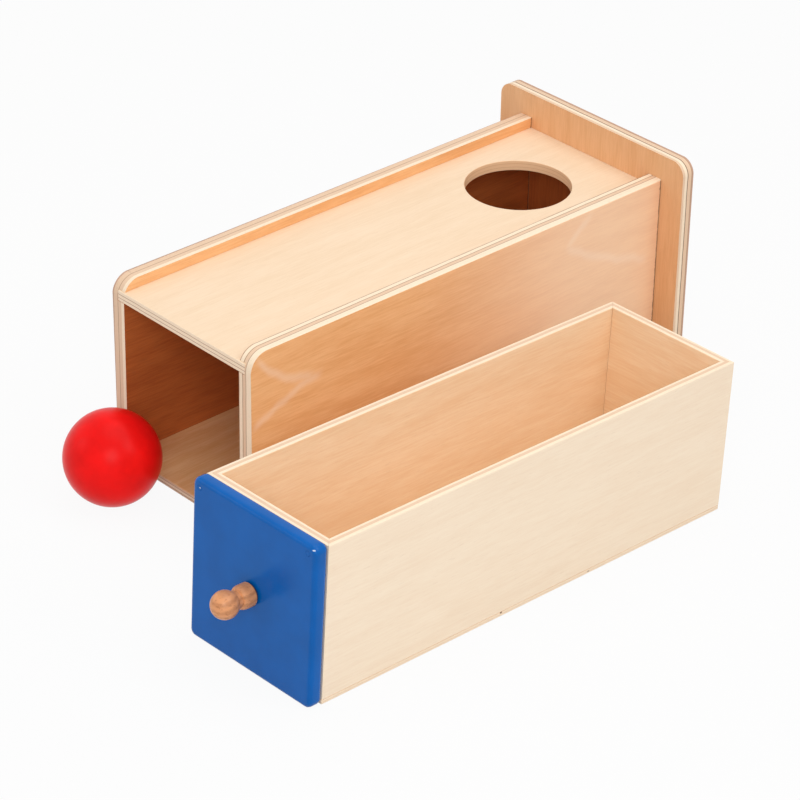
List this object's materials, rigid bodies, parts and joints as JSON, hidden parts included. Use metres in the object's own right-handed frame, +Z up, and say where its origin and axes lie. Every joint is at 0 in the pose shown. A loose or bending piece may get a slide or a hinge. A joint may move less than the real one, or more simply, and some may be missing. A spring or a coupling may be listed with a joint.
{
  "type": "wooden ball-drop box",
  "caption": "Plywood toy box with a round ball hole in its top, a pull-out drawer with a blue front and a turned knob, and a loose red wooden ball.",
  "frame": {"origin": "middle of the set's bounding box, on the floor it stands on", "axes": "+Z up, +Y from the case's open mouth to its back plate, +X from the case towards the drawer beside it"},
  "size_m": [0.2506, 0.3926, 0.1317],
  "materials": {
    "tan_birch": "clear satin plywood, warm tan",
    "pale_birch": "clear satin plywood, pale cream",
    "blue_paint": "satin blue paint on wood",
    "red_paint": "satin red paint on wood",
    "turned_beech": "clear satin turned wood",
    "steel": "bright wire",
    "painted_steel": "painted over in blue"
  },
  "bodies": {
    "case": {"case_left_side": "tan_birch", "case_right_side": "tan_birch", "case_top_panel": "pale_birch", "case_bottom_panel": "tan_birch", "case_back_plate": "tan_birch", "plate_brad_1": "steel", "plate_brad_2": "steel", "plate_brad_3": "steel", "plate_brad_4": "steel", "plate_brad_5": "steel", "plate_brad_6": "steel"},
    "drawer": {"drawer_front_wall": "pale_birch", "drawer_right_wall": "pale_birch", "drawer_back_wall": "pale_birch", "drawer_left_wall": "pale_birch", "drawer_bottom": "pale_birch", "drawer_front": "blue_paint", "drawer_knob": "turned_beech", "knob_screw": "steel", "front_brad_1": "painted_steel", "front_brad_2": "painted_steel", "bottom_brad_1": "steel", "bottom_brad_2": "steel", "bottom_brad_3": "steel", "bottom_brad_4": "steel", "bottom_brad_5": "steel", "bottom_brad_6": "steel", "bottom_brad_7": "steel", "bottom_brad_8": "steel"},
    "ball": {"ball": "red_paint"}
  },
  "joints": [
    {"name": "drawer_slide", "type": "slide", "parent": "case", "child": "drawer", "axis": [-0.0183, 0.9998, 0], "range_m": [-0.2058, 0.0767]},
    {"name": "ball_roll", "type": "slide", "parent": "case", "child": "ball", "axis": [0, -1, 0], "range_m": [0, 0.157]}
  ]
}
